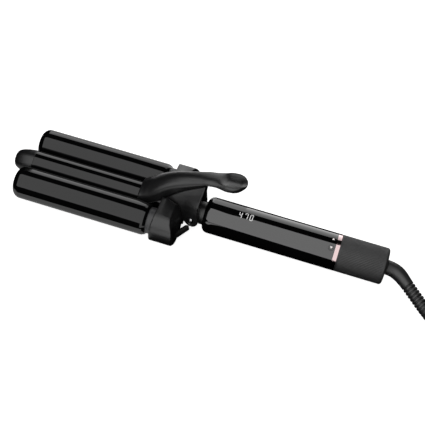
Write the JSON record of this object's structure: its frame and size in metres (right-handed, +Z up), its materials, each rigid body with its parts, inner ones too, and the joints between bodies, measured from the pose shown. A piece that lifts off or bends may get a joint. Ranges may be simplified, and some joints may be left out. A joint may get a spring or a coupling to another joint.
{
  "type": "hair waver",
  "caption": "Hair waver with parallel round barrels, a sprung thumb lever, a round handle with a digital temperature display and buttons, and a mains lead.",
  "frame": {"origin": "middle of the waver's length and width without its free lead, at the height of the surface it lies on", "axes": "+X along the handle from the barrels' tips towards the lead, +Y away from the side with the display and buttons, +Z up on the side of the thumb lever"},
  "size_m": [0.4677, 0.1145, 0.0562],
  "materials": {
    "black_shell": "gloss",
    "matt_black": "matt",
    "barrel_black": "gloss coating",
    "collar_grey": "satin",
    "rose_gold": "polished",
    "grip_black": "textured",
    "steel": "brushed",
    "brass": "satin",
    "aluminium": "satin",
    "heater_white": "matt",
    "board_green": "satin",
    "part_black": "matt",
    "display": "gloss",
    "nylon": "satin",
    "cord_black": "satin"
  },
  "bodies": {
    "body": {"handle_shell": "black_shell", "chassis": "nylon", "control_board": "board_green", "board_screws": "steel", "display_module": "display", "power_parts": "part_black", "tact_switches": "part_black", "trim_ring": "rose_gold", "end_grip": "grip_black", "swivel_bush": "nylon", "strain_relief": "cord_black", "cord_tube": "cord_black", "cord_coil": "cord_black", "cord_tail": "cord_black", "cord_tie": "cord_black", "plug_body": "cord_black", "plug_blades": "brass", "neck": "matt_black", "centre_barrel": "barrel_black", "centre_heater": "heater_white", "centre_heat_blocks": "aluminium", "cool_tip": "matt_black", "hinge_pin": "steel", "pin_screws": "steel", "clamp_spring": "steel"},
    "clamp": {"lever": "matt_black", "yoke": "matt_black", "lever_screws": "steel", "front_bracket": "matt_black", "back_bracket": "matt_black", "bracket_screws": "steel", "front_collar": "collar_grey", "back_collar": "collar_grey", "front_barrel": "barrel_black", "back_barrel": "barrel_black", "front_heater": "heater_white", "back_heater": "heater_white", "front_heat_blocks": "aluminium", "back_heat_blocks": "aluminium", "front_wire_sleeve": "cord_black", "back_wire_sleeve": "cord_black", "spring_leg": "steel"},
    "up_key": {"up_button": "black_shell"},
    "down_key": {"down_button": "black_shell"}
  },
  "joints": [
    {"name": "clamp_hinge", "type": "hinge", "parent": "body", "child": "clamp", "pos_m": [-0.00125, 0, 0.01415], "axis": [0, 1, 0], "range_deg": [0, 22], "stiffness_Nm_per_rad": 0.6, "springref_deg": -25.78},
    {"name": "up_press", "type": "slide", "parent": "body", "child": "up_key", "axis": [0, 0.3746, -0.9272], "range_m": [0, 0.0006], "stiffness_N_per_m": 900, "springref_m": -0.0006},
    {"name": "down_press", "type": "slide", "parent": "body", "child": "down_key", "axis": [0, 0.3746, -0.9272], "range_m": [0, 0.0006], "stiffness_N_per_m": 900, "springref_m": -0.0006}
  ]
}
